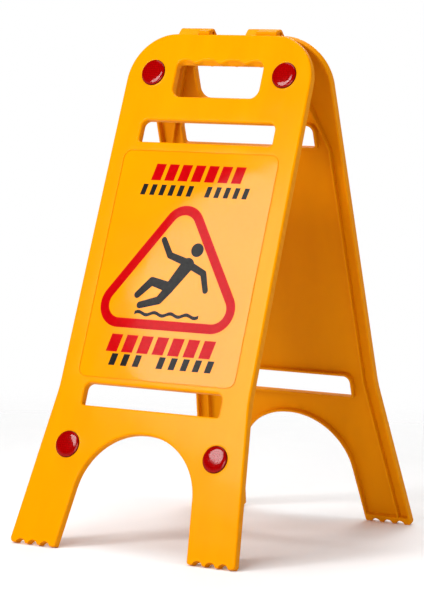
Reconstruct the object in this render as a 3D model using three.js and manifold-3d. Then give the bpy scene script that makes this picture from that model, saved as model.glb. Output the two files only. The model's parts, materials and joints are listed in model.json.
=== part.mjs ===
// A-frame wet floor sign: two identical plastic mouldings, hinged along their top edges.
// Millimetres, +Z up. The sign stands open on its feet, with its middle over the origin.
// The front panel faces -Y, the rear panel faces +Y, and the hinge axis runs along X.
import * as THREE from "three";
import { mergeVertices } from "three/addons/utils/BufferGeometryUtils.js";
import Module from "manifold-3d";

const wasm = await Module();
wasm.setup();

// A panel is drawn flat: x across it, y up from its feet, z out of its outer face at z = 0.
const PANEL_HEIGHT = 620;
const FOOT_HALF_WIDTH = 150.8;
const WAIST = { halfWidth: 127.4, height: 186, radius: 150 };
const SHOULDER = { halfWidth: 123.8, radius: 58 };
const FOOT_CORNER_RADIUS = 5;
const ARCH = { footHalfWidth: 87.9, topHalfWidth: 70.1, height: 139, radius: 78, footRadius: 3.5 };

// The moulding is a skin with a rim, and a flange of the same depth around every opening.
const PANEL_DEPTH = 9.5;
const SKIN = 3;
const WALL = 3;
const EDGE_ROUND = 2.5;
const FOOT_WALL = 9;
const RIB = { thickness: 2.4, fromEdge: 17, bendHeight: 484, topHalfWidth: 60 };

// Openings: half width, bottom and top heights, and the radii of their lower and upper corners.
const LOWER_SLOT = { halfWidth: 92, bottom: 166.9, top: 193.5, lowerRadius: 3, upperRadius: 8 };
const UPPER_SLOT = { halfWidth: 90, bottom: 485.8, top: 512.6, lowerRadius: 3, upperRadius: 8 };
const HANDLE = { halfWidth: 58.4, bottom: 542.2, top: 587, lowerRadius: 12, upperRadius: 9 };
const FINGER = { pitch: 33.5, ridgeDepth: 4.8, ridgeHalfWidth: 9, tipRadius: 8, rootRadius: 12 };
const ROOF_BACK = 583.5; // height of the hand hole's top edge at the back, level with the ridges

// Non-slip teeth along the bottom of each foot, left between round notches.
const TOOTH = { first: 93.5, pitch: 16.65, notches: 3, notchRadius: 6.9, notchDepth: 5 };
const TOOTH_FLAT = 1; // height worn off the lowest edge, where the sign stands on the floor

// Printed label in a shallow recess of the outer face.
const LABEL = { halfWidth: 105, bottom: 200, top: 475, radius: 11, recess: 0.8, thickness: 0.4 };

// Round reflectors: a domed lens on a backing disc, in a shallow seat.
const REFLECTOR = { lensRadius: 15, rimHeight: 0.7, domeHeight: 1.1, lensBase: 0.4 };
const BACKING = { radius: 15.3, thickness: 1, seatDepth: 1.2 };
const REFLECTOR_PLACES = {
  upper_left: [-88.6, 570.9],
  upper_right: [88.6, 570.9],
  lower_left: [-98.8, 119.3],
  lower_right: [98.8, 119.3],
};

// Hinge: its axis stands above the top edge and just inside the inner face of each panel.
const HINGE = { aboveTop: 4.3, inward: 10.5, barrelRadius: 6, pinRadius: 2.5 };
const LONG_KNUCKLE = [-67, -39];
const SHORT_KNUCKLE = [24, 39];
const KNUCKLE_HEEL = 9; // reach past the axis, over the other panel's top edge
const KNUCKLE_WEB = 8.5; // reach from the axis towards the outer face
const KNUCKLE_ROUND = 2; // on the edges of each knuckle's two ends
const HINGE_BLOCK = { from: 20, to: 70, depth: 12 };
const OPEN_HALF_ANGLE = THREE.MathUtils.degToRad(19.15); // each panel's lean from the vertical

const CLEARANCE = 0.3;
const BARREL_CLEARANCE = 0.6;
const CHORD_ERROR = 0.15;
const ROUND_SEGMENTS = 28;
const PAST = 1; // how far a cut reaches past the surface it opens
const SPAN = 2 * PANEL_HEIGHT; // reaches past a panel on every side

const AXIS_HEIGHT = PANEL_HEIGHT + HINGE.aboveTop; // along the panel
const GROUND_LEVEL = TOOTH_FLAT - PANEL_DEPTH * Math.sin(OPEN_HALF_ANGLE);
const HINGE_Z =
  AXIS_HEIGHT * Math.cos(OPEN_HALF_ANGLE) - HINGE.inward * Math.sin(OPEN_HALF_ANGLE) - GROUND_LEVEL;

const panelPlastic = new THREE.MeshStandardMaterial({ color: 0xf7a400, roughness: 0.42, metalness: 0 });
const labelFilm = new THREE.MeshStandardMaterial({ color: 0xfbb02c, roughness: 0.2, metalness: 0 });
const lensPlastic = new THREE.MeshStandardMaterial({ color: 0xb40410, roughness: 0.08, metalness: 0 });
const backingPlastic = new THREE.MeshStandardMaterial({ color: 0x7a0a10, roughness: 0.5, metalness: 0 });
const pinPlastic = new THREE.MeshStandardMaterial({ color: 0xe59a10, roughness: 0.35, metalness: 0 });

function solidOf(geometry) {
  const bare = new THREE.BufferGeometry();
  bare.setIndex(geometry.index);
  bare.setAttribute("position", geometry.getAttribute("position"));
  const merged = mergeVertices(bare, 1e-4);
  return new wasm.Manifold(
    new wasm.Mesh({
      numProp: 3,
      vertProperties: merged.attributes.position.array,
      triVerts: new Uint32Array(merged.index.array),
    }),
  );
}

function geometryOf(solid) {
  const mesh = solid.getMesh();
  const geometry = new THREE.BufferGeometry();
  geometry.setAttribute("position", new THREE.BufferAttribute(mesh.vertProperties, 3));
  geometry.setIndex(new THREE.BufferAttribute(mesh.triVerts, 1));
  geometry.computeVertexNormals();
  return geometry;
}

// Points of a closed outline whose corners, [x, y, radius] in anticlockwise order, are rounded.
// The whole outline moves inwards by inset, and its arcs stay concentric.
function outlinePoints(corners, inset = 0) {
  const at = (i) => new THREE.Vector2(...corners[(i + corners.length) % corners.length]);
  return corners.flatMap(([, , radius], i) => {
    const incoming = at(i).sub(at(i - 1)).normalize();
    const outgoing = at(i + 1).sub(at(i)).normalize();
    const turn = Math.atan2(incoming.cross(outgoing), incoming.dot(outgoing));
    const start = incoming.angle() + Math.PI / 2;
    const reach = (Math.sign(turn) * radius) / Math.cos(turn / 2);
    const middle = start + turn / 2;
    const centre = at(i).add(new THREE.Vector2(Math.cos(middle), Math.sin(middle)).multiplyScalar(reach));
    const steps = radius ? Math.ceil(Math.abs(turn) / (2 * Math.acos(1 - CHORD_ERROR / radius))) : 0;
    if (!steps) {
      const mitre = new THREE.Vector2(Math.cos(middle), Math.sin(middle));
      return [centre.add(mitre.multiplyScalar(inset / Math.cos(turn / 2)))];
    }
    return Array.from({ length: steps + 1 }, (_, step) => {
      const angle = start + (turn * step) / steps;
      const normal = new THREE.Vector2(Math.cos(angle), Math.sin(angle));
      return normal.multiplyScalar(inset - Math.sign(turn) * radius).add(centre);
    });
  });
}

// A straight-sided solid between two heights over the outer face.
function prism(points, low, high) {
  const shape = new THREE.Shape(points);
  const geometry = new THREE.ExtrudeGeometry(shape, { depth: high - low, bevelEnabled: false });
  return solidOf(geometry.translate(0, 0, low));
}

function block(low, high) {
  const size = high.map((value, i) => value - low[i]);
  const middle = high.map((value, i) => (value + low[i]) / 2);
  return solidOf(new THREE.BoxGeometry(...size).translate(...middle));
}

// A round bar along X, centred on the hinge axis of a flat panel.
function barOnAxis(radius, from, to) {
  const bar = new THREE.CylinderGeometry(radius, radius, to - from, ROUND_SEGMENTS);
  bar.rotateZ(Math.PI / 2);
  return solidOf(bar.translate((from + to) / 2, AXIS_HEIGHT, -HINGE.inward));
}

function mirroredCorners(rightHalf) {
  const leftHalf = rightHalf.map(([x, y, radius]) => [-x, y, radius]).reverse();
  return [...rightHalf, ...leftHalf];
}

function panelCorners() {
  return mirroredCorners([
    [ARCH.topHalfWidth, ARCH.height, ARCH.radius],
    [ARCH.footHalfWidth, 0, ARCH.footRadius],
    [FOOT_HALF_WIDTH, 0, FOOT_CORNER_RADIUS],
    [WAIST.halfWidth, WAIST.height, WAIST.radius],
    [SHOULDER.halfWidth, PANEL_HEIGHT, SHOULDER.radius],
  ]);
}

function slotCorners({ halfWidth, bottom, top, lowerRadius, upperRadius }) {
  return mirroredCorners([
    [halfWidth, bottom, lowerRadius],
    [halfWidth, top, upperRadius],
  ]);
}

// The hand hole, with a ridge between each two fingers along its top edge.
function handleCorners() {
  const [lower, upper, ...rest] = slotCorners(HANDLE);
  const ridges = [1, 0, -1].flatMap((place) => {
    const x = place * FINGER.pitch;
    return [
      [x + FINGER.ridgeHalfWidth, HANDLE.top, FINGER.rootRadius],
      [x, HANDLE.top - FINGER.ridgeDepth, FINGER.tipRadius],
      [x - FINGER.ridgeHalfWidth, HANDLE.top, FINGER.rootRadius],
    ];
  });
  return [lower, upper, ...ridges, ...rest];
}

const OPENINGS = [slotCorners(LOWER_SLOT), slotCorners(UPPER_SLOT), handleCorners()];

// The outer form: the outline and its openings, with rounded edges on the outer face only.
function roundedPlate() {
  const shape = new THREE.Shape(outlinePoints(panelCorners()));
  shape.holes = OPENINGS.map((corners) => new THREE.Path(outlinePoints(corners)));
  const geometry = new THREE.ExtrudeGeometry(shape, {
    depth: PANEL_DEPTH,
    bevelThickness: EDGE_ROUND,
    bevelSize: EDGE_ROUND,
    bevelOffset: -EDGE_ROUND,
    bevelSegments: 2,
  });
  geometry.translate(0, 0, -PANEL_DEPTH - EDGE_ROUND);
  const behind = block([-SPAN, -SPAN, -3 * PANEL_DEPTH], [SPAN, SPAN, -PANEL_DEPTH]);
  return solidOf(geometry).subtract(behind);
}

// The hand hole's roof: it slopes down to a straight back edge, so the finger grooves run out.
function handleRoof() {
  const front = new THREE.Vector3(0, HANDLE.top, -EDGE_ROUND);
  const back = new THREE.Vector3(0, ROOF_BACK, -PANEL_DEPTH);
  const along = front.clone().sub(back);
  const upwards = new THREE.Vector3(0, along.z, -along.y).normalize();
  const around = prism(outlinePoints(handleCorners(), -WALL / 2), -PANEL_DEPTH, -EDGE_ROUND);
  return around.trimByPlane(upwards.toArray(), upwards.dot(back));
}

// A wall of even thickness along a line of points.
function wallPoints(path, thickness) {
  const sides = path.map((point, i) => {
    const before = path[Math.max(i - 1, 0)];
    const after = path[Math.min(i + 1, path.length - 1)];
    const along = after.clone().sub(before).normalize();
    return new THREE.Vector2(-along.y, along.x).multiplyScalar(thickness / 2);
  });
  const left = path.map((point, i) => point.clone().add(sides[i]));
  const right = path.map((point, i) => point.clone().sub(sides[i]));
  return [...right, ...left.reverse()];
}

// Inner rib: it follows the outer edge up from the foot, then leans in to the hinge.
function rib(side) {
  const waistToBend = (RIB.bendHeight - WAIST.height) / (PANEL_HEIGHT - WAIST.height);
  const edgeAtBend = THREE.MathUtils.lerp(WAIST.halfWidth, SHOULDER.halfWidth, waistToBend);
  const path = [
    [FOOT_HALF_WIDTH - RIB.fromEdge, 0],
    [WAIST.halfWidth - RIB.fromEdge, WAIST.height],
    [edgeAtBend - RIB.fromEdge, RIB.bendHeight],
    [RIB.topHalfWidth, PANEL_HEIGHT - WALL / 2],
  ].map(([x, y]) => new THREE.Vector2(side * x, y));
  const points = wallPoints(path, RIB.thickness);
  return prism(side > 0 ? points : points.reverse(), -PANEL_DEPTH - PAST, PAST - SKIN);
}

// The hollow behind the skin, less every wall that stands in it.
function hollow() {
  const back = -PANEL_DEPTH - PAST;
  const behind = back - PAST;
  let space = prism(outlinePoints(panelCorners(), WALL), back, -SKIN);
  space = space.subtract(block([-SPAN, -SPAN, behind], [SPAN, FOOT_WALL, 0]));
  for (const corners of OPENINGS) {
    space = space.subtract(prism(outlinePoints(corners, -WALL), behind, 0));
  }
  for (const side of [-1, 1]) {
    const ends = [side * HINGE_BLOCK.from, side * HINGE_BLOCK.to];
    const low = [Math.min(...ends), PANEL_HEIGHT - HINGE_BLOCK.depth, behind];
    space = space.subtract(block(low, [Math.max(...ends), PANEL_HEIGHT, 0])).subtract(rib(side));
  }
  return space;
}

function footNotches(plate) {
  const bottom = TOOTH.notchDepth - TOOTH.notchRadius;
  for (const side of [-1, 1]) {
    for (let i = 0; i < TOOTH.notches; i++) {
      const notch = new THREE.CylinderGeometry(
        TOOTH.notchRadius,
        TOOTH.notchRadius,
        3 * PANEL_DEPTH,
        ROUND_SEGMENTS,
      );
      notch.rotateX(Math.PI / 2);
      notch.translate(side * (TOOTH.first + (i + 0.5) * TOOTH.pitch), bottom, 0);
      plate = plate.subtract(solidOf(notch));
    }
  }
  return plate;
}

// Everything below the floor, as the leaning panel meets it.
function floorBlock() {
  const upright = block([-SPAN, GROUND_LEVEL - SPAN, -SPAN], [SPAN, GROUND_LEVEL, SPAN]);
  return upright.rotate(THREE.MathUtils.radToDeg(OPEN_HALF_ANGLE), 0, 0);
}

// A knuckle's section: a web up from the panel, the barrel, and a heel that reaches over the
// other panel's top edge. The heel's underside stops that panel when the sign is open.
function knuckleSection() {
  const radius = HINGE.barrelRadius;
  const foot = new THREE.Vector2(-KNUCKLE_WEB, -HINGE.aboveTop);
  const tangent = foot.angle() - Math.acos(radius / foot.length());
  const fold = 2 * OPEN_HALF_ANGLE;
  const stop = HINGE.aboveTop - CLEARANCE;
  const heelStart = fold - Math.asin(stop / radius);
  const heelUnder = (KNUCKLE_HEEL * Math.sin(fold) - stop) / Math.cos(fold);
  const section = new THREE.Shape();
  section.moveTo(-KNUCKLE_WEB, -radius);
  section.absarc(0, 0, radius, -Math.PI / 2, heelStart, false);
  section.lineTo(KNUCKLE_HEEL, heelUnder);
  section.lineTo(KNUCKLE_HEEL, radius);
  section.absarc(0, 0, radius, Math.PI / 2, tangent, false);
  section.lineTo(-KNUCKLE_WEB, -HINGE.aboveTop);
  return section;
}

function knuckle([from, to]) {
  const geometry = new THREE.ExtrudeGeometry(knuckleSection(), {
    depth: to - from - CLEARANCE - 2 * KNUCKLE_ROUND,
    curveSegments: 6,
    bevelThickness: KNUCKLE_ROUND,
    bevelSize: KNUCKLE_ROUND,
    bevelOffset: -KNUCKLE_ROUND,
    bevelSegments: 2,
  });
  geometry.rotateY(Math.PI / 2);
  geometry.translate(from + CLEARANCE / 2 + KNUCKLE_ROUND, AXIS_HEIGHT, -HINGE.inward);
  return solidOf(geometry);
}

// The panel with its two knuckles, and a notch in its top edge under each knuckle of the other.
function hingedPanel(plate) {
  const knuckles = [LONG_KNUCKLE, SHORT_KNUCKLE];
  const notchRadius = HINGE.barrelRadius + BARREL_CLEARANCE;
  for (const [from, to] of knuckles) {
    plate = plate.subtract(barOnAxis(notchRadius, -to - CLEARANCE / 2, -from + CLEARANCE / 2));
  }
  for (const span of knuckles) plate = plate.add(knuckle(span));
  for (const [from, to] of knuckles) {
    plate = plate.subtract(barOnAxis(HINGE.pinRadius + CLEARANCE, from - PAST, to + PAST));
  }
  return plate;
}

function labelCorners() {
  return mirroredCorners([
    [LABEL.halfWidth, LABEL.bottom, LABEL.radius],
    [LABEL.halfWidth, LABEL.top, LABEL.radius],
  ]);
}

function labelRecess() {
  return prism(outlinePoints(labelCorners()), -LABEL.recess, PAST);
}

function reflectorSeat([x, y]) {
  const radius = BACKING.radius + CLEARANCE;
  const seat = new THREE.CylinderGeometry(radius, radius, 2 * BACKING.seatDepth, ROUND_SEGMENTS);
  return solidOf(seat.rotateX(Math.PI / 2).translate(x, y, 0));
}

function panelGeometry() {
  let panel = roundedPlate().subtract(hollow()).add(handleRoof());
  panel = footNotches(panel).subtract(floorBlock()).subtract(labelRecess());
  for (const place of Object.values(REFLECTOR_PLACES)) {
    panel = panel.subtract(reflectorSeat(place));
  }
  return geometryOf(hingedPanel(panel));
}

function labelGeometry() {
  const low = CLEARANCE - LABEL.recess;
  return geometryOf(prism(outlinePoints(labelCorners(), CLEARANCE), low, low + LABEL.thickness));
}

function backingGeometry() {
  const disc = new THREE.CylinderGeometry(
    BACKING.radius,
    BACKING.radius,
    BACKING.thickness,
    ROUND_SEGMENTS,
  );
  disc.rotateX(Math.PI / 2);
  return disc.translate(0, 0, CLEARANCE - BACKING.seatDepth + BACKING.thickness / 2);
}

// A lens with an upright rim and a shallow dome.
function lensGeometry() {
  const { lensRadius, rimHeight, domeHeight, lensBase } = REFLECTOR;
  const profile = [new THREE.Vector2(0, lensBase), new THREE.Vector2(lensRadius, lensBase)];
  const rings = 4;
  for (let ring = rings; ring >= 0; ring--) {
    const share = ring / rings;
    const height = lensBase + rimHeight + domeHeight * (1 - share * share);
    profile.push(new THREE.Vector2(lensRadius * share, height));
  }
  return new THREE.LatheGeometry(profile, ROUND_SEGMENTS).rotateX(Math.PI / 2);
}

function named(name, geometry, material) {
  const mesh = new THREE.Mesh(geometry, material);
  mesh.name = name;
  return mesh;
}

const panelShape = panelGeometry();
const labelShape = labelGeometry();
const backingShape = backingGeometry();
const lensShape = lensGeometry();

function leaningPanel(side) {
  const flat = new THREE.Group();
  flat.position.set(0, -AXIS_HEIGHT, HINGE.inward);
  flat.add(named(`${side}_panel`, panelShape, panelPlastic));
  flat.add(named(`${side}_label`, labelShape, labelFilm));
  for (const [place, [x, y]] of Object.entries(REFLECTOR_PLACES)) {
    const backing = named(`${side}_reflector_back_${place}`, backingShape, backingPlastic);
    const lens = named(`${side}_reflector_lens_${place}`, lensShape, lensPlastic);
    backing.position.set(x, y, 0);
    lens.position.set(x, y, 0);
    flat.add(backing, lens);
  }
  const leaning = new THREE.Group();
  leaning.rotation.x = Math.PI / 2 - OPEN_HALF_ANGLE;
  leaning.position.z = HINGE_Z;
  leaning.add(flat);
  return leaning;
}

// A headless pin through a long knuckle and the other panel's short one beside it.
function hingePin(name, side) {
  const inset = KNUCKLE_ROUND;
  const from = LONG_KNUCKLE[0] + inset;
  const to = -SHORT_KNUCKLE[0] - inset;
  const pin = new THREE.CylinderGeometry(HINGE.pinRadius, HINGE.pinRadius, to - from, ROUND_SEGMENTS);
  const mesh = named(name, pin.rotateZ(Math.PI / 2), pinPlastic);
  mesh.position.set((side * -(from + to)) / 2, 0, HINGE_Z);
  return mesh;
}

const sign = new THREE.Group();
const rear = leaningPanel("rear");
const turned = new THREE.Group();
turned.rotation.z = Math.PI;
turned.add(rear);
sign.add(leaningPanel("front"), turned);
sign.add(hingePin("hinge_pin_left", -1), hingePin("hinge_pin_right", 1));

export default sign;
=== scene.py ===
"""Looks of a folding wet floor sign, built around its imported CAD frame.

Both panels are the same moulding. It is drawn flat, in millimetres: x across it, y up from its feet
and z out of its outer face. stand_up() then puts it where the frame has it, in metres.
"""

import json
import math

import bmesh
import bpy
from mathutils import Matrix, Vector


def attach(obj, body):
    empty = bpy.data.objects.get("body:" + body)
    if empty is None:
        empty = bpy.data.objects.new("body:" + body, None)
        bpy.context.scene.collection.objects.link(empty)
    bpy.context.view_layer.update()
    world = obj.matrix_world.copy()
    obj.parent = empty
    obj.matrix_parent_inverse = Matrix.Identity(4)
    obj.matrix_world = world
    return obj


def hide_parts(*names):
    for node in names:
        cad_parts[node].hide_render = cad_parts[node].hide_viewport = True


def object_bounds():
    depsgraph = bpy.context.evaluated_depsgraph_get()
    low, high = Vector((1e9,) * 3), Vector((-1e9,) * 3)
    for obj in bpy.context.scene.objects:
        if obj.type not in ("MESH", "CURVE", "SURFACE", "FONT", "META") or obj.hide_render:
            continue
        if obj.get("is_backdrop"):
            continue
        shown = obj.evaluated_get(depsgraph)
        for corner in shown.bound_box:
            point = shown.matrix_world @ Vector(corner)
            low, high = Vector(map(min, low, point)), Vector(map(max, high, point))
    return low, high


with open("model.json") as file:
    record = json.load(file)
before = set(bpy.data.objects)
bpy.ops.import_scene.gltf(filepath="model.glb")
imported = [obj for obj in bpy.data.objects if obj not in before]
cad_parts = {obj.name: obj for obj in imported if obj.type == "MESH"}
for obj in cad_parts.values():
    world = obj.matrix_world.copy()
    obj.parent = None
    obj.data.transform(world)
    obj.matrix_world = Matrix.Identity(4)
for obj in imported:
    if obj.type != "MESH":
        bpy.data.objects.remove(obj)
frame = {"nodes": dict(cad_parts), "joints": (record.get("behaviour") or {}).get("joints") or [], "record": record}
cad_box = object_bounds()

MM = 0.001
# An arc is drawn in steps no wider than ARC_STEP, and no more than CHORD_ERROR off the true arc.
ARC_STEP, CHORD_ERROR = math.radians(10), 0.04
EDGE_STEPS, SMALL_ROUND_STEPS = 6, 3
OVERLAP = 1  # how far a solid reaches into another that it is joined to

# The moulding, as the CAD model has it.
PANEL_HEIGHT = 620
FOOT_HALF_WIDTH = 150.8
WAIST_HALF_WIDTH, WAIST_HEIGHT, WAIST_RADIUS = 127.4, 186, 150
SHOULDER_HALF_WIDTH, SHOULDER_RADIUS = 123.8, 58
FOOT_CORNER_RADIUS = 5
ARCH_FOOT_HALF_WIDTH, ARCH_TOP_HALF_WIDTH, ARCH_HEIGHT, ARCH_RADIUS = 87.9, 70.1, 139, 78
ARCH_FOOT_RADIUS = 3.5
DEPTH, SKIN, WALL, FOOT_WALL = 9.5, 3, 3, 9
EDGE_ROUND = 2.5
TRAY_CORNER_RADIUS = 6
AXIS_HEIGHT, AXIS_INWARD = PANEL_HEIGHT + 4.3, 10.5

# Openings: half width, bottom, top, and the radii of the lower and upper corners.
LOWER_SLOT = (92, 166.9, 193.5, 3, 8)
UPPER_SLOT = (90, 485.8, 512.6, 3, 8)
HANDLE = (58.4, 542.2, 587, 12, 9)
ROOF_BACK = 583.5
FINGER_PITCH = 33.5
RIDGE_DEPTH, RIDGE_HALF_WIDTH, RIDGE_TIP_RADIUS, RIDGE_ROOT_RADIUS = 4.8, 9, 8, 12

# Small rounds and draft that the CAD model leaves out.
RIM_ROUND, ROOT_ROUND, DRAFT = 0.7, 0.5, 0.25

RIB_THICKNESS, RIB_FROM_EDGE, RIB_FOOT = 2.4, 17, 2
RIB_BEND_HEIGHT, RIB_TOP_HALF_WIDTH = 484, 60
RIB_BEVEL_DEPTH, RIB_BACK_GAP, RIB_BACK_SHARE = 0.6, 0.02, 0.55

TOOTH_FIRST, TOOTH_PITCH, TOOTH_FLAT = 93.5, 16.65, 1
NOTCH_RADIUS, NOTCH_DEPTH, NOTCHES = 6.9, 5, 3

LABEL_HALF_WIDTH, LABEL_BOTTOM, LABEL_TOP, LABEL_RADIUS = 105, 200, 475, 11
LABEL_RECESS = 0.8
RECESS_EDGE = [(-0.35, 0), (-0.1, -0.1), (0, -0.35)]
SEAT_RADIUS, SEAT_DEPTH, SEAT_EDGE = 15.6, 1.2, 0.35
SEAT_BEAD = [(2.4, 0), (2.1, 0.12), (1.5, 0.2), (0.9, 0.12)]
REFLECTOR_PLACES = {
    "upper_left": (-88.6, 570.9),
    "upper_right": (88.6, 570.9),
    "lower_left": (-98.8, 119.3),
    "lower_right": (98.8, 119.3),
}

BARREL_RADIUS, PIN_HOLE_RADIUS, BARREL_CLEARANCE, BARREL_STEPS = 6, 2.8, 0.6, 10
KNUCKLES = [(-67, -39), (24, 39)]
END_GAP = 0.15
KNUCKLE_HEEL, KNUCKLE_WEB, KNUCKLE_ROUND = 9, 8.5, 1.2
HINGE_BLOCK_FROM, HINGE_BLOCK_TO, HINGE_BLOCK_DEPTH, HINGE_BLOCK_ROUND = 20, 70, 12, 0.5

SHARP_ANGLE, END_EDGE_ANGLE, MERGE_DISTANCE = math.radians(38), math.radians(60), 0.01


# ---------------------------------------------------------------- outlines


def direction(angle):
    return Vector((math.cos(angle), math.sin(angle)))


def arc_steps(turn, radius):
    chord_step = 2 * math.acos(1 - CHORD_ERROR / radius)
    return max(2, math.ceil(abs(turn) / min(chord_step, ARC_STEP)))


def outline_points(corners, inset=0.0):
    """Points, anticlockwise, of an outline with rounded corners (x, y, radius), moved in by inset."""
    points = []
    for i, (x, y, radius) in enumerate(corners):
        here = Vector((x, y))
        incoming = (here - Vector(corners[i - 1][:2])).normalized()
        outgoing = (Vector(corners[(i + 1) % len(corners)][:2]) - here).normalized()
        turn = math.atan2(incoming.cross(outgoing), incoming.dot(outgoing))
        start = math.atan2(incoming.y, incoming.x) + math.pi / 2
        side = math.copysign(1, turn)
        middle = direction(start + turn / 2) / math.cos(turn / 2)
        centre = here + middle * side * radius
        steps = arc_steps(turn, radius)
        for step in range(steps + 1):
            points.append(centre + direction(start + turn * step / steps) * (inset - side * radius))
    return points


def circle_points(x, y, radius, steps=48):
    return [Vector((x, y)) + direction(math.tau * i / steps) * radius for i in range(steps)]


def arc_points(centre, radius, start, end, steps):
    return [centre + direction(start + (end - start) * i / steps) * radius for i in range(steps + 1)]


def mirrored(right_half):
    return right_half + [(-x, y, radius) for x, y, radius in reversed(right_half)]


def panel_corners(foot=0.0, foot_corner=FOOT_CORNER_RADIUS, arch_corner=ARCH_FOOT_RADIUS):
    """The panel's outline. A raised foot level stays on the same side lines."""
    arch_lean = (ARCH_FOOT_HALF_WIDTH - ARCH_TOP_HALF_WIDTH) / ARCH_HEIGHT
    leg_lean = (FOOT_HALF_WIDTH - WAIST_HALF_WIDTH) / WAIST_HEIGHT
    return mirrored([
        (ARCH_TOP_HALF_WIDTH, ARCH_HEIGHT, ARCH_RADIUS),
        (ARCH_FOOT_HALF_WIDTH - foot * arch_lean, foot, arch_corner),
        (FOOT_HALF_WIDTH - foot * leg_lean, foot, foot_corner),
        (WAIST_HALF_WIDTH, WAIST_HEIGHT, WAIST_RADIUS),
        (SHOULDER_HALF_WIDTH, PANEL_HEIGHT, SHOULDER_RADIUS),
    ])


def slot_corners(half_width, bottom, top, lower_radius, upper_radius):
    return mirrored([(half_width, bottom, lower_radius), (half_width, top, upper_radius)])


def handle_corners():
    """The hand hole, with a ridge between each two fingers along its top edge."""
    corners = slot_corners(*HANDLE)
    top = HANDLE[2]
    ridges = []
    for place in (1, 0, -1):
        x = place * FINGER_PITCH
        ridges += [
            (x + RIDGE_HALF_WIDTH, top, RIDGE_ROOT_RADIUS),
            (x, top - RIDGE_DEPTH, RIDGE_TIP_RADIUS),
            (x - RIDGE_HALF_WIDTH, top, RIDGE_ROOT_RADIUS),
        ]
    return corners[:2] + ridges + corners[2:]


def label_corners():
    return slot_corners(LABEL_HALF_WIDTH, LABEL_BOTTOM, LABEL_TOP, LABEL_RADIUS, LABEL_RADIUS)


def moved_in(corners):
    """An outline that loft() moves inwards as its profile goes."""
    return lambda inset, z: outline_points(corners, inset)


def moved_out(corners):
    return lambda inset, z: outline_points(corners, -inset)


def handle_outline(inset, z):
    """The hand hole at one depth. Its roof slopes to a straight back edge, so the grooves run out."""
    slope = min(1, (z + DEPTH) / (DEPTH - EDGE_ROUND))
    roof = ROOF_BACK + (HANDLE[2] - ROOF_BACK) * slope + inset
    return [Vector((p.x, min(p.y, roof))) for p in outline_points(handle_corners(), -inset)]


# Each opening's outline through the panel, and the corners that the flange round it follows.
OPENINGS = [
    (moved_out(slot_corners(*LOWER_SLOT)), slot_corners(*LOWER_SLOT)),
    (moved_out(slot_corners(*UPPER_SLOT)), slot_corners(*UPPER_SLOT)),
    (handle_outline, handle_corners()),
]


# ---------------------------------------------------------------- meshes


def ring(bm, points, z):
    return [bm.verts.new((p.x, p.y, z)) for p in points]


def skirt(bm, lower, upper):
    """Faces between two rings of as many points."""
    for i in range(len(lower)):
        j = (i + 1) % len(lower)
        bm.faces.new((lower[i], lower[j], upper[j], upper[i]))


def loft(bm, outline, profile):
    """Rings of outline(inset, z) along a profile, joined by faces. It returns the first and last ring."""
    rings = [ring(bm, outline(inset, z), z) for inset, z in profile]
    for lower, upper in zip(rings, rings[1:]):
        skirt(bm, lower, upper)
    return rings[0], rings[-1]


def fill(bm, *rings):
    """A flat face bounded by the first ring, with the others as holes in it."""
    edges = []
    for verts in rings:
        for i, vert in enumerate(verts):
            neighbour = verts[(i + 1) % len(verts)]
            edges.append(bm.edges.get((vert, neighbour)) or bm.edges.new((vert, neighbour)))
    bmesh.ops.triangle_fill(bm, use_beauty=True, use_dissolve=False, edges=edges)


def mesh_object(name, bm):
    bmesh.ops.recalc_face_normals(bm, faces=bm.faces)
    mesh = bpy.data.meshes.new(name)
    bm.to_mesh(mesh)
    bm.free()
    made = bpy.data.objects.new(name, mesh)
    bpy.context.scene.collection.objects.link(made)
    return made


def prism(points, low, high):
    bm = bmesh.new()
    lower, upper = ring(bm, points, low), ring(bm, points, high)
    skirt(bm, lower, upper)
    fill(bm, lower)
    fill(bm, upper)
    return mesh_object("prism", bm)


def bar_on_axis(radius, start, end):
    """A round bar along the hinge axis of the flat panel."""
    bar = prism(circle_points(0, 0, radius), start, end)
    along_x = Matrix.Rotation(math.pi / 2, 4, "Y")
    bar.data.transform(Matrix.Translation((0, AXIS_HEIGHT, -AXIS_INWARD)) @ along_x)
    return bar


def bake_modifiers(made):
    """Applies an object's modifiers to its mesh."""
    bpy.context.view_layer.update()
    evaluated = made.evaluated_get(bpy.context.evaluated_depsgraph_get())
    before = made.data
    made.data = bpy.data.meshes.new_from_object(evaluated)
    made.modifiers.clear()
    bpy.data.meshes.remove(before)


def combine(base, operation, *tools):
    """Joins tools to a solid (UNION) or cuts them from it (DIFFERENCE)."""
    for tool in tools:
        modifier = base.modifiers.new("combine", "BOOLEAN")
        modifier.operation = operation
        modifier.solver = "MANIFOLD"
        modifier.object = tool
        bake_modifiers(base)
        bpy.data.objects.remove(tool)
    return base


def quarter_turn(steps):
    """The sine and cosine of even steps from 0 to 90 degrees."""
    angles = [math.pi / 2 * i / steps for i in range(steps + 1)]
    return [(math.sin(angle), math.cos(angle)) for angle in angles]


def edge_profile():
    """From the outer face over a round edge, down a wall and round onto the back."""
    profile = [(EDGE_ROUND * (1 - s), -EDGE_ROUND * (1 - c)) for s, c in quarter_turn(EDGE_STEPS)]
    for s, c in quarter_turn(SMALL_ROUND_STEPS):
        profile.append((RIM_ROUND * (1 - c), -DEPTH + RIM_ROUND * (1 - s)))
    return profile


def tray_profile():
    """From the back, round into the hollow, down its wall and round onto its floor."""
    turn = quarter_turn(SMALL_ROUND_STEPS)
    profile = [(WALL - RIM_ROUND * (1 - s), -DEPTH + RIM_ROUND * (1 - c)) for s, c in turn]
    for s, c in turn:
        profile.append((WALL + DRAFT + ROOT_ROUND * (1 - c), -SKIN - ROOT_ROUND * (1 - s)))
    return profile


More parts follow.
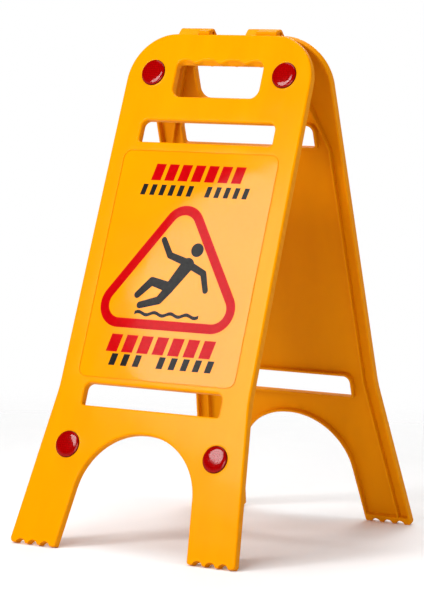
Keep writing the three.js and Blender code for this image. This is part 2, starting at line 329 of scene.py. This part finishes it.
def moulding_body():
    """The skin, its rim and the flanges round the openings, as one closed surface."""
    bm = bmesh.new()
    edge, tray = edge_profile(), tray_profile()
    face_rings, floor_rings = [], []
    first, last = loft(bm, moved_in(panel_corners()), edge)
    face_rings.append(first)
    inner = panel_corners(FOOT_WALL - WALL, TRAY_CORNER_RADIUS, TRAY_CORNER_RADIUS)
    tray_rim, tray_floor = loft(bm, moved_in(inner), tray)
    fill(bm, last, tray_rim)
    floor_rings.append(tray_floor)
    for outline, corners in OPENINGS:
        first, last = loft(bm, outline, edge)
        flange_rim, flange_floor = loft(bm, moved_out(corners), tray)
        fill(bm, flange_rim, last)
        face_rings.append(first)
        floor_rings.append(flange_floor)
    seat = [*SEAT_BEAD, (SEAT_EDGE, 0), (0, -SEAT_EDGE), (0, -SEAT_DEPTH)]
    for x, y in REFLECTOR_PLACES.values():
        first, last = loft(bm, lambda grow, z: circle_points(x, y, SEAT_RADIUS + grow), seat)
        fill(bm, last)
        face_rings.append(first)
    first, last = loft(bm, moved_in(label_corners()), [*RECESS_EDGE, (0, -LABEL_RECESS)])
    fill(bm, last)
    face_rings.append(first)
    fill(bm, *face_rings)
    fill(bm, *floor_rings)
    return mesh_object("moulding", bm)


def rib(side):
    """Inner rib: it follows the outer edge up from the foot, then leans in to the hinge."""
    waist_to_bend = (RIB_BEND_HEIGHT - WAIST_HEIGHT) / (PANEL_HEIGHT - WAIST_HEIGHT)
    edge_at_bend = WAIST_HALF_WIDTH + (SHOULDER_HALF_WIDTH - WAIST_HALF_WIDTH) * waist_to_bend
    path = [
        Vector((FOOT_HALF_WIDTH - RIB_FROM_EDGE, RIB_FOOT)),
        Vector((WAIST_HALF_WIDTH - RIB_FROM_EDGE, WAIST_HEIGHT)),
        Vector((edge_at_bend - RIB_FROM_EDGE, RIB_BEND_HEIGHT)),
        Vector((RIB_TOP_HALF_WIDTH, PANEL_HEIGHT - WALL / 2)),
    ]
    half = RIB_THICKNESS / 2
    section = [
        (half + DRAFT, OVERLAP - SKIN),
        (half, -DEPTH + RIB_BEVEL_DEPTH),
        (half * RIB_BACK_SHARE, -DEPTH + RIB_BACK_GAP),
    ]
    bm = bmesh.new()
    sections = []
    for i, point in enumerate(path):
        along = (path[min(i + 1, len(path) - 1)] - path[max(i - 1, 0)]).normalized()
        across = Vector((-along.y, along.x))
        row = [(point + across * w, z) for w, z in section]
        row += [(point - across * w, z) for w, z in reversed(section)]
        sections.append([bm.verts.new((side * p.x, p.y, z)) for p, z in row])
    for lower, upper in zip(sections, sections[1:]):
        skirt(bm, lower, upper)
    bm.faces.new(sections[0])
    bm.faces.new(sections[-1])
    return mesh_object("rib", bm)


def soft_block(low, high, softness):
    """A block with rounded edges."""
    bm = bmesh.new()
    bmesh.ops.create_cube(bm, size=1)
    size = Vector(high) - Vector(low)
    bmesh.ops.scale(bm, vec=size, verts=bm.verts)
    bmesh.ops.translate(bm, vec=Vector(low) + size / 2, verts=bm.verts)
    bmesh.ops.bevel(bm, geom=bm.edges[:], offset=softness, segments=3, profile=0.5, affect="EDGES")
    return mesh_object("block", bm)


def knuckle_section():
    """A web up from the panel, the barrel, and a heel over the other panel's top edge.

    The points are (towards the rear, up) from the hinge axis.
    """
    lean = 2 * panel_lean()
    above = AXIS_HEIGHT - PANEL_HEIGHT
    foot = Vector((-KNUCKLE_WEB, -above))
    tangent = math.atan2(foot.y, foot.x) + math.tau - math.acos(BARREL_RADIUS / foot.length)
    stop = above - 2 * END_GAP
    heel_start = lean - math.asin(stop / BARREL_RADIUS)
    heel_under = (KNUCKLE_HEEL * math.sin(lean) - stop) / math.cos(lean)
    axis = Vector((0, 0))
    return [
        Vector((-KNUCKLE_WEB, -BARREL_RADIUS)),
        *arc_points(axis, BARREL_RADIUS, -math.pi / 2, heel_start, BARREL_STEPS),
        Vector((KNUCKLE_HEEL, heel_under)),
        Vector((KNUCKLE_HEEL, BARREL_RADIUS)),
        *arc_points(axis, BARREL_RADIUS, math.pi / 2, tangent, BARREL_STEPS),
        foot,
    ]


def knuckle(start, end):
    """One knuckle across the top edge, its ends rounded."""
    made = prism(knuckle_section(), start + END_GAP, end - END_GAP)
    bm = bmesh.new()
    bm.from_mesh(made.data)
    ends = [
        edge for edge in bm.edges
        if edge.verts[0].co.z == edge.verts[1].co.z
        and len(edge.link_faces) == 2
        and edge.calc_face_angle() > END_EDGE_ANGLE
    ]
    bmesh.ops.bevel(bm, geom=ends, offset=KNUCKLE_ROUND, segments=4, profile=0.5, affect="EDGES")
    bm.to_mesh(made.data)
    bm.free()
    turn = Matrix(((0, 0, 1, 0), (0, 1, 0, AXIS_HEIGHT), (-1, 0, 0, -AXIS_INWARD), (0, 0, 0, 1)))
    made.data.transform(turn)
    return made


def foot_notches():
    for side in (-1, 1):
        for i in range(NOTCHES):
            x = side * (TOOTH_FIRST + (i + 0.5) * TOOTH_PITCH)
            yield prism(circle_points(x, NOTCH_DEPTH - NOTCH_RADIUS, NOTCH_RADIUS), -2 * DEPTH, DEPTH)


def floor_block():
    """Everything below the floor, as the leaning panel meets it."""
    lean = panel_lean()
    ground = TOOTH_FLAT - DEPTH * math.sin(lean)
    reach = PANEL_HEIGHT
    corners = ((-reach, ground - reach), (reach, ground - reach), (reach, ground), (-reach, ground))
    made = prism([Vector(corner) for corner in corners], -reach, reach)
    made.data.transform(Matrix.Rotation(lean, 4, "X"))
    return made


def moulding():
    """One finished panel, flat, in millimetres."""
    made = moulding_body()
    blocks = []
    for side in (-1, 1):
        near, far = sorted((side * HINGE_BLOCK_FROM, side * HINGE_BLOCK_TO))
        low = (near, PANEL_HEIGHT - HINGE_BLOCK_DEPTH, -DEPTH)
        high = (far, PANEL_HEIGHT - WALL / 2, OVERLAP - SKIN)
        blocks.append(soft_block(low, high, HINGE_BLOCK_ROUND))
    combine(made, "UNION", rib(-1), rib(1), *blocks)
    combine(made, "DIFFERENCE", *foot_notches(), floor_block())
    for start, end in KNUCKLES:
        gap = bar_on_axis(BARREL_RADIUS + BARREL_CLEARANCE, -end - END_GAP, END_GAP - start)
        combine(made, "DIFFERENCE", gap)
    combine(made, "UNION", *[knuckle(*span) for span in KNUCKLES])
    pin_holes = [bar_on_axis(PIN_HOLE_RADIUS, start - OVERLAP, end + OVERLAP) for start, end in KNUCKLES]
    return combine(made, "DIFFERENCE", *pin_holes)


# ---------------------------------------------------------------- placing


def panel_lean():
    """How far a panel leans back from the vertical, from the frame's label mount."""
    mount = next(m for m in frame["record"]["mounts"] if m["name"] == "front_label_face")
    return math.asin(mount["axis"][2])


def stand_up(side):
    """The matrix from a flat panel to its place in the frame, both in metres."""
    hinge = Vector(frame["joints"][0]["pos_m"])
    flat = Matrix.Translation((0, -AXIS_HEIGHT * MM, AXIS_INWARD * MM))
    lean = Matrix.Rotation(math.pi / 2 - panel_lean(), 4, "X")
    turn = Matrix.Rotation(math.pi if side == "rear" else 0, 4, "Z")
    return Matrix.Translation(hinge) @ turn @ lean @ flat


def finish_mesh(made):
    """Merges points that nearly touch, turns millimetres to metres and shades smooth with crisp edges."""
    bm = bmesh.new()
    bm.from_mesh(made.data)
    bmesh.ops.remove_doubles(bm, verts=bm.verts, dist=MERGE_DISTANCE)
    bm.to_mesh(made.data)
    bm.free()
    made.data.transform(Matrix.Scale(MM, 4))
    made.data.shade_smooth()
    made.data.set_sharp_from_angle(angle=SHARP_ANGLE)
    return made


def add_piece(shape, name, side, slot, material, *replaced):
    """A copy of a flat shape, stood up on its side, riding on its body."""
    made = bpy.data.objects.new(name, shape.data.copy())
    bpy.context.scene.collection.objects.link(made)
    made.data.materials.clear()
    made.data.materials.append(material)
    made.matrix_world = stand_up(side)
    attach(made, side)
    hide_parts(*replaced)
    normals = made.modifiers.new("normals", "WEIGHTED_NORMAL")
    normals.keep_sharp = True
    return made


# ---------------------------------------------------------------- label and print

FILM_GAP, FILM_TOP, FILM_BOTTOM, FILM_BEVEL = 1.0, -0.1, -0.5, 0.12
INK_TOP, INK_BOTTOM = 0, -0.15
BAR_LEAN = math.tan(math.radians(12))

# Rows of bars in place of lettering: left, right, bottom, top, bars in each group, share inked.
RED_ROWS = [(-61, 64, 439, 459, (7,), 0.72), (-74, 70, 232, 253, (7,), 0.72)]
DARK_ROWS = [(-72, 74, 421, 434, (6, 5), 0.52), (-67, 73, 216, 230, (3, 5), 0.52)]

TRIANGLE_MIDDLE, TRIANGLE_HALF_WIDTH, TRIANGLE_BOTTOM, TRIANGLE_TOP = -4, 114.3, 261, 432.5
TRIANGLE_RADIUS, TRIANGLE_BORDER = 28, 11.5

# A person losing their footing: limbs as (start, end, start radius, end radius).
LIMBS = [
    ((12, 340), (-6, 312), 8.5, 6.5),
    ((12, 341), (35, 331), 4.6, 4.0),
    ((35, 331), (42, 311), 4.0, 3.6),
    ((9, 343), (-14, 350), 4.6, 4.0),
    ((-14, 350), (-26, 368), 4.0, 3.6),
    ((-6, 312), (-31, 318), 6.2, 5.2),
    ((-31, 318), (-47, 301), 5.2, 4.2),
    ((-6, 311), (-17, 296), 6.2, 5.0),
    ((-17, 296), (-41, 289), 5.0, 4.2),
]
HEAD = (21, 358, 8.2)
LIMB_END_STEPS = 10
WAVE_LEFT, WAVE_RIGHT, WAVE_HEIGHT = -46, 40, 279.5
WAVE_SWING, WAVE_THICKNESS, WAVE_COUNT, WAVE_STEPS = 1.6, 4.2, 4, 12


def film():
    bm = bmesh.new()
    profile = [
        (FILM_GAP, FILM_BOTTOM),
        (FILM_GAP, FILM_TOP - FILM_BEVEL),
        (FILM_GAP + FILM_BEVEL, FILM_TOP),
    ]
    first, last = loft(bm, moved_in(label_corners()), profile)
    fill(bm, first)
    fill(bm, last)
    return mesh_object("film", bm)


def bar_outlines(left, right, bottom, top, groups, share):
    """Slanted bars between left and right, with a gap between groups."""
    lean = (top - bottom) * BAR_LEAN
    places = sum(groups) + len(groups) - 1
    pitch = (right - left - lean) / (places - 1 + share)
    place = 0
    for group in groups:
        for _ in range(group):
            x = left + place * pitch
            width = pitch * share
            yield [Vector((x, bottom)), Vector((x + width, bottom)),
                   Vector((x + width + lean, top)), Vector((x + lean, top))]
            place += 1
        place += 1


def triangle_corners():
    return [
        (TRIANGLE_MIDDLE - TRIANGLE_HALF_WIDTH, TRIANGLE_BOTTOM, TRIANGLE_RADIUS),
        (TRIANGLE_MIDDLE + TRIANGLE_HALF_WIDTH, TRIANGLE_BOTTOM, TRIANGLE_RADIUS),
        (TRIANGLE_MIDDLE, TRIANGLE_TOP, TRIANGLE_RADIUS),
    ]


def limb_points(start, end, start_radius, end_radius):
    """The outline round two circles."""
    a, b = Vector(start), Vector(end)
    heading = math.atan2(b.y - a.y, b.x - a.x)
    taper = math.acos((start_radius - end_radius) / (b - a).length)
    left, right = heading + taper, heading - taper
    round_end = arc_points(b, end_radius, right, left, LIMB_END_STEPS)
    return round_end + arc_points(a, start_radius, left, right + math.tau, LIMB_END_STEPS)


def wave_points():
    steps = WAVE_STEPS * WAVE_COUNT
    lower, upper = [], []
    for i in range(steps + 1):
        x = WAVE_LEFT + (WAVE_RIGHT - WAVE_LEFT) * i / steps
        y = WAVE_HEIGHT + WAVE_SWING * math.sin(math.tau * WAVE_COUNT * i / steps)
        lower.append(Vector((x, y - WAVE_THICKNESS / 2)))
        upper.append(Vector((x, y + WAVE_THICKNESS / 2)))
    return lower + upper[::-1]


def ink(points):
    return prism(points, INK_BOTTOM, INK_TOP)


def red_print():
    border = ink(outline_points(triangle_corners()))
    hole = outline_points(triangle_corners(), TRIANGLE_BORDER)
    combine(border, "DIFFERENCE", prism(hole, INK_BOTTOM - OVERLAP, INK_TOP + OVERLAP))
    return combine(border, "UNION", *[ink(bar) for row in RED_ROWS for bar in bar_outlines(*row)])


def dark_print():
    made = ink(wave_points())
    combine(made, "UNION", *[ink(limb_points(*limb)) for limb in LIMBS], ink(circle_points(*HEAD)))
    return combine(made, "UNION", *[ink(bar) for row in DARK_ROWS for bar in bar_outlines(*row)])


# ---------------------------------------------------------------- reflectors

REFLECTOR_STEPS = 64
LENS_RADIUS, LENS_BASE, LENS_RIM, LENS_DOME = 15, 0.4, 0.7, 1.1
LENS_FOOT_INSET, LENS_FOOT_HEIGHT, LENS_EDGE_DROP = 0.3, 0.2, 0.25
DOME_RINGS, DOME_EDGE_SHIFT = 12, 0.35
DOME_CROWN = 0.35  # the part of the dome's height that is an even curve; the rest is at its edge
CUP_RADIUS, CUP_BOTTOM, CUP_FLOOR, CUP_FLOOR_INSET = 15.55, -0.9, -0.2, 1.0
LIP_TOP, LIP_WIDTH, LIP_BEVEL_WIDTH, LIP_BEVEL_DEPTH = 0.7, 0.28, 0.08, 0.1


def turned_solid(name, radius, profile):
    """A closed round solid, whose profile gives how far in from the radius and how high."""
    bm = bmesh.new()
    first, last = loft(bm, lambda inset, z: circle_points(0, 0, radius - inset, REFLECTOR_STEPS), profile)
    fill(bm, first)
    fill(bm, last)
    return mesh_object(name, bm)


def dome():
    """A lens: an upright rim with a soft edge, under a dome that is flattest in the middle."""
    rim_top = LENS_BASE + LENS_RIM
    profile = [
        (LENS_FOOT_INSET, LENS_BASE),
        (0, LENS_BASE + LENS_FOOT_HEIGHT),
        (0, rim_top - LENS_EDGE_DROP),
    ]
    for i in range(DOME_RINGS):
        share = 1 - (i + DOME_EDGE_SHIFT) / DOME_RINGS
        rise = DOME_CROWN * (1 - share ** 2) + (1 - DOME_CROWN) * (1 - share ** 8)
        profile.append((LENS_RADIUS * (1 - share), rim_top + LENS_DOME * rise))
    return turned_solid("dome", LENS_RADIUS, profile)


def cup():
    """The backing: a shallow cup whose lip shows as a dark ring round the lens, its darkness partly painted shade
    in the gap there.
    """
    return turned_solid("cup", CUP_RADIUS, [
        (0, CUP_BOTTOM),
        (0, LIP_TOP - LIP_BEVEL_DEPTH),
        (LIP_BEVEL_WIDTH, LIP_TOP),
        (LIP_WIDTH - LIP_BEVEL_WIDTH, LIP_TOP),
        (LIP_WIDTH, LIP_TOP - LIP_BEVEL_DEPTH),
        (LIP_WIDTH, CUP_FLOOR),
        (CUP_FLOOR_INSET, CUP_FLOOR),
    ])


# ---------------------------------------------------------------- materials


class Material:
    """A Principled material whose nodes are added by name."""

    def __init__(self, name, **sockets):
        self.material = bpy.data.materials.new(name)
        self.material.use_nodes = True
        self.tree = self.material.node_tree
        self.shader = self.tree.nodes["Principled BSDF"]
        self.set(self.shader, sockets)

    def set(self, node, sockets):
        for key, value in sockets.items():
            socket = node.inputs[key.replace("_", " ") if isinstance(key, str) else key]
            if isinstance(value, bpy.types.NodeSocket):
                self.tree.links.new(value, socket)
            else:
                socket.default_value = value

    def add(self, kind, settings=None, **sockets):
        node = self.tree.nodes.new("ShaderNode" + kind)
        for key, value in (settings or {}).items():
            setattr(node, key, value)
        self.set(node, sockets)
        return node

    def flat_coordinates(self, stretch=(1, 1, 1)):
        """Metres in the flat panel's own axes."""
        coordinates = self.add("TexCoord").outputs["Object"]
        return self.add("Mapping", Vector=coordinates, Scale=stretch).outputs["Vector"]

    def noise(self, scale, detail=2.0, stretch=(1, 1, 1), roughness=0.5):
        vector = self.flat_coordinates(stretch)
        node = self.add("TexNoise", Vector=vector, Scale=scale, Detail=detail, Roughness=roughness)
        return node.outputs["Fac"]

    def between(self, value, low, high, to_low=0.0, to_high=1.0):
        """Takes low..high to to_low..to_high, held at the ends."""
        node = self.add("MapRange", Value=value)
        self.set(node, {"From_Min": low, "From_Max": high, "To_Min": to_low, "To_Max": to_high})
        return node.outputs["Result"]

    def calculate(self, operation, *values):
        node = self.add("Math", {"operation": operation})
        self.set(node, dict(enumerate(values)))
        return node.outputs["Value"]

    def mix(self, share, first, second):
        """Mixes two colours. The node's number sockets have the same names, so places tell them apart."""
        node = self.add("Mix", {"data_type": "RGBA"})
        self.set(node, {0: share, 6: first, 7: second})
        return node.outputs[2]

    def bump(self, height, depth, normal=None):
        """Raises the surface by height, whose whole range is depth millimetres."""
        node = self.add("Bump", Height=height, Distance=depth * MM, Strength=1.0)
        if normal:
            self.set(node, {"Normal": normal})
        return node.outputs["Normal"]


MATT_ROUGHNESS, RUBBED_ROUGHNESS = 0.5, 0.08
AMBER_TINT = (1, 0.85, 0.5, 1)


def amber(brightness, green):
    """The plastic's hue, with green as a share of red."""
    return (brightness, brightness * green, 0.0, 1.0)


def panel_plastic():
    """Amber polypropylene with flow marks, clouds and rubbed spots, glossy on its outer face only."""
    made = Material("panel_plastic", IOR=1.49, Specular_IOR_Level=0.06, Specular_Tint=AMBER_TINT)
    flow = made.noise(30, detail=3, stretch=(1.0, 0.22, 1.0))
    clouds = made.noise(9, detail=2)
    colour = made.mix(made.between(flow, 0.35, 0.65), amber(0.71, 0.335), amber(0.75, 0.35))
    colour = made.mix(made.between(clouds, 0.3, 0.7, 0, 0.5), colour, amber(0.75, 0.34))
    rubs = made.between(made.noise(55, detail=6, stretch=(1, 0.5, 1), roughness=0.7), 0.58, 0.72)
    glossy = made.between(made.noise(420, detail=3), 0.3, 0.7, 0.11, 0.15)
    rubbed = made.calculate("MULTIPLY_ADD", rubs, RUBBED_ROUGHNESS, glossy)
    height = made.add("SeparateXYZ", Vector=made.flat_coordinates()).outputs["Z"]
    matt = made.between(height, -EDGE_ROUND * MM, -0.5 * EDGE_ROUND * MM, MATT_ROUGHNESS, 0)
    roughness = made.calculate("MAXIMUM", rubbed, matt)
    waves = made.bump(made.noise(16, detail=1), 0.5)
    grain = made.bump(made.noise(700, detail=2), 0.004, waves)
    made.set(made.shader, {"Base_Color": colour, "Roughness": roughness, "Normal": grain})
    return made.material


def label_film():
    """Glossy film on the panel, with the panel's gentle waves showing through."""
    made = Material("label_film", Specular_IOR_Level=0.07, IOR=1.5)
    clouds = made.noise(12, detail=2)
    colour = made.mix(made.between(clouds, 0.3, 0.7), amber(0.73, 0.33), amber(0.76, 0.345))
    roughness = made.between(made.noise(300, detail=3), 0.3, 0.7, 0.05, 0.08)
    waves = made.bump(made.noise(18, detail=1), 0.35)
    made.set(made.shader, {"Base_Color": colour, "Roughness": roughness, "Normal": waves})
    return made.material


def print_ink(name, light, dark):
    """Screen-print ink, thinner in places, with a smooth glossy skin."""
    made = Material(name, Specular_IOR_Level=0.02, IOR=1.5)
    cover = made.noise(180, detail=4)
    colour = made.mix(made.between(cover, 0.35, 0.65), dark, light)
    roughness = made.between(made.noise(500, detail=2), 0.3, 0.7, 0.05, 0.08)
    waves = made.bump(made.noise(18, detail=1), 0.35)
    made.set(made.shader, {"Base_Color": colour, "Roughness": roughness, "Normal": waves})
    return made.material


def reflector_lens():
    """Dark red acrylic: small prisms under a clear polished skin."""
    clear_coat = {"Coat_Weight": 0.3, "Coat_Roughness": 0.07}
    made = Material("reflector_lens", IOR=1.49, Specular_IOR_Level=0.0, Roughness=0.3, **clear_coat)
    vector = made.flat_coordinates()
    prisms = made.add("TexVoronoi", {"feature": "F1"}, Vector=vector, Scale=380.0, Randomness=0.25)
    depth = made.between(prisms.outputs["Distance"], 0.0, 0.7)
    colour = made.mix(depth, (0.40, 0.0, 0.001, 1), (0.22, 0.0, 0.0, 1))
    facets = made.bump(depth, 0.7)
    made.set(made.shader, {"Base_Color": colour, "Normal": facets})
    return made.material


def reflector_backing():
    """Dark red moulded plastic, made darker than the lens so that its lip is partly painted shade in the gap round
    the lens.
    """
    made = Material("reflector_backing", IOR=1.49, Specular_IOR_Level=0.05)
    cover = made.noise(400, detail=3)
    share = made.between(cover, 0.3, 0.7)
    # The backing's own dark red, darkened further so its lip paints the shade that falls in the gap between lens
    # and seat.
    colour = made.mix(share, (0.07, 0.002, 0.004, 1), (0.12, 0.004, 0.006, 1))
    roughness = made.between(cover, 0.3, 0.7, 0.35, 0.5)
    made.set(made.shader, {"Base_Color": colour, "Roughness": roughness})
    return made.material


def hinge_pin():
    """Amber nylon rod with drawing marks along it."""
    made = Material("hinge_pin", IOR=1.5, Specular_IOR_Level=0.2, Specular_Tint=AMBER_TINT)
    marks = made.noise(900, detail=2, stretch=(0.05, 1, 1))
    colour = made.mix(made.between(marks, 0.3, 0.7), amber(0.55, 0.32), amber(0.64, 0.33))
    roughness = made.between(marks, 0.3, 0.7, 0.3, 0.42)
    made.set(made.shader, {"Base_Color": colour, "Roughness": roughness})
    return made.material


def studio_floor():
    """Pale painted floor that fades into the white round it."""
    made = Material("studio_floor", Specular_IOR_Level=0.2)
    colour = made.mix(made.noise(3, detail=3), (0.84, 0.84, 0.84, 1), (0.88, 0.88, 0.88, 1))
    roughness = made.between(made.noise(40, detail=3), 0.3, 0.7, 0.6, 0.75)
    distance = made.add("VectorMath", {"operation": "LENGTH"})
    made.set(distance, {0: made.flat_coordinates()})
    fade = made.add("MapRange", {"interpolation_type": "SMOOTHERSTEP"}, Value=distance.outputs["Value"])
    made.set(fade, {"From_Min": FLOOR_PLAIN_RADIUS, "From_Max": FLOOR_RADIUS})
    made.set(fade, {"To_Min": 1.0, "To_Max": 0.0})
    alpha = fade.outputs["Result"]
    made.set(made.shader, {"Base_Color": colour, "Roughness": roughness, "Alpha": alpha})
    return made.material


# ---------------------------------------------------------------- building


def build_sign():
    plastic, glossy_film = panel_plastic(), label_film()
    red = print_ink("red_ink", (0.44, 0.001, 0.003, 1), (0.39, 0.001, 0.002, 1))
    dark = print_ink("dark_ink", (0.016, 0.016, 0.015, 1), (0.011, 0.011, 0.011, 1))
    reflector_parts = [
        ("dome", "lens", "reflector_lens", reflector_lens()),
        ("cup", "back", "reflector_backing", reflector_backing()),
    ]
    shapes = {
        "moulding": finish_mesh(moulding()),
        "film": finish_mesh(film()),
        "red": finish_mesh(red_print()),
        "dark": finish_mesh(dark_print()),
        "dome": finish_mesh(dome()),
        "cup": finish_mesh(cup()),
    }
    for side in ("front", "rear"):
        add_piece(shapes["moulding"], f"{side}_moulding", side, "panel_plastic", plastic, f"{side}_panel")
        add_piece(shapes["film"], f"{side}_label_film", side, "label_film", glossy_film, f"{side}_label")
        add_piece(shapes["red"], f"{side}_red_print", side, "label_film", red)
        add_piece(shapes["dark"], f"{side}_dark_print", side, "label_film", dark)
        for place, (x, y) in REFLECTOR_PLACES.items():
            for shape, part, slot, material in reflector_parts:
                name, node = f"{side}_{shape}_{place}", f"{side}_reflector_{part}_{place}"
                piece = add_piece(shapes[shape], name, side, slot, material, node)
                piece.data.transform(Matrix.Translation((x * MM, y * MM, 0)))
    for shape in shapes.values():
        bpy.data.objects.remove(shape)
    pin_material = hinge_pin()
    for name in ("hinge_pin_left", "hinge_pin_right"):
        node = frame["nodes"][name]
        node.data.materials.clear()
        node.data.materials.append(pin_material)


# ---------------------------------------------------------------- studio

CAMERA_PLACE = (1.6715, -2.7835, 0.5275)
CAMERA_YAW, CAMERA_PITCH, CAMERA_ROLL = 31.24, -4.42, 1.45
CAMERA_LENS = 166.2

# The world is white up to one elevation, and dim from the other up.
WHITE_UP_TO, DIM_FROM = math.radians(6), math.radians(18)
WHITE_STRENGTH, DIM_STRENGTH = 1.0, 0.06
FLOOR_PLAIN_RADIUS, FLOOR_RADIUS, FLOOR_STEPS = 0.5, 1.6, 96

# Name, place, target, width and height in metres, and watts.
SOFTBOXES = [
    ("glare", (-1.105, -2.06, 1.47), (0, -0.11, 0.33), 0.7, 0.7, 27),
    ("catch", (-0.88, -2.17, 1.92), (0, -0.11, 0.33), 0.42, 0.36, 8),
    ("key", (0.2, -2.4, 0.85), (0, -0.11, 0.33), 0.97, 1.2, 26),
    ("overhead", (-0.2, -0.2, 2.4), (0, 0, 0.3), 2.0, 1.6, 36),
    ("side_fill", (2.0, 0.1, 1.9), (0, 0, 0.3), 1.2, 1.0, 13),
    ("back_fill", (-0.8, 2.4, 1.9), (0, 0, 0.3), 1.6, 1.2, 32),
]


def add_camera():
    """From the right of the front panel, a little over the sign's middle, with a long lens."""
    data = bpy.data.cameras.new("camera")
    data.lens = CAMERA_LENS
    camera = bpy.data.objects.new("camera", data)
    bpy.context.scene.collection.objects.link(camera)
    yaw, pitch, roll = (math.radians(a) for a in (CAMERA_YAW, CAMERA_PITCH, CAMERA_ROLL))
    turn = Matrix.Rotation(yaw, 4, "Z") @ Matrix.Rotation(math.pi / 2 + pitch, 4, "X")
    camera.matrix_world = Matrix.Translation(CAMERA_PLACE) @ turn @ Matrix.Rotation(roll, 4, "Z")
    bpy.context.scene.camera = camera


def add_softbox(name, place, target, width, height, watts):
    data = bpy.data.lights.new(name, "AREA")
    data.shape = "ELLIPSE"
    data.size, data.size_y = width, height
    data.energy = watts
    light = bpy.data.objects.new(name, data)
    bpy.context.scene.collection.objects.link(light)
    light.location = place
    light.rotation_euler = (Vector(target) - Vector(place)).to_track_quat("-Z", "Y").to_euler()


def add_floor():
    bm = bmesh.new()
    bm.faces.new(ring(bm, circle_points(0, 0, FLOOR_RADIUS, FLOOR_STEPS), 0))
    floor = mesh_object("floor", bm)
    floor.data.materials.append(studio_floor())
    floor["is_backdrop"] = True


def add_world():
    """White low down behind the sign and dim higher up, so that glossy faces keep their colour."""
    world = bpy.data.worlds.new("studio")
    world.use_nodes = True
    nodes, links = world.node_tree.nodes, world.node_tree.links
    view = nodes.new("ShaderNodeTexCoord")
    axes = nodes.new("ShaderNodeSeparateXYZ")
    fade = nodes.new("ShaderNodeMapRange")
    fade.interpolation_type = "SMOOTHSTEP"
    fade.inputs["From Min"].default_value = math.sin(WHITE_UP_TO)
    fade.inputs["From Max"].default_value = math.sin(DIM_FROM)
    fade.inputs["To Min"].default_value = WHITE_STRENGTH
    fade.inputs["To Max"].default_value = DIM_STRENGTH
    links.new(view.outputs["Generated"], axes.inputs["Vector"])
    links.new(axes.outputs["Z"], fade.inputs["Value"])
    links.new(fade.outputs["Result"], nodes["Background"].inputs["Strength"])
    nodes["Background"].inputs["Color"].default_value = (1, 1, 1, 1)
    bpy.context.scene.world = world


def add_studio():
    bpy.context.scene.view_settings.view_transform = "Standard"
    add_world()
    for softbox in SOFTBOXES:
        add_softbox(*softbox)
    add_floor()
    add_camera()


build_sign()
add_studio()

lows_and_highs = {"cad": cad_box, "visual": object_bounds()}
{name: [list(corner) for corner in box] for name, box in lows_and_highs.items()}
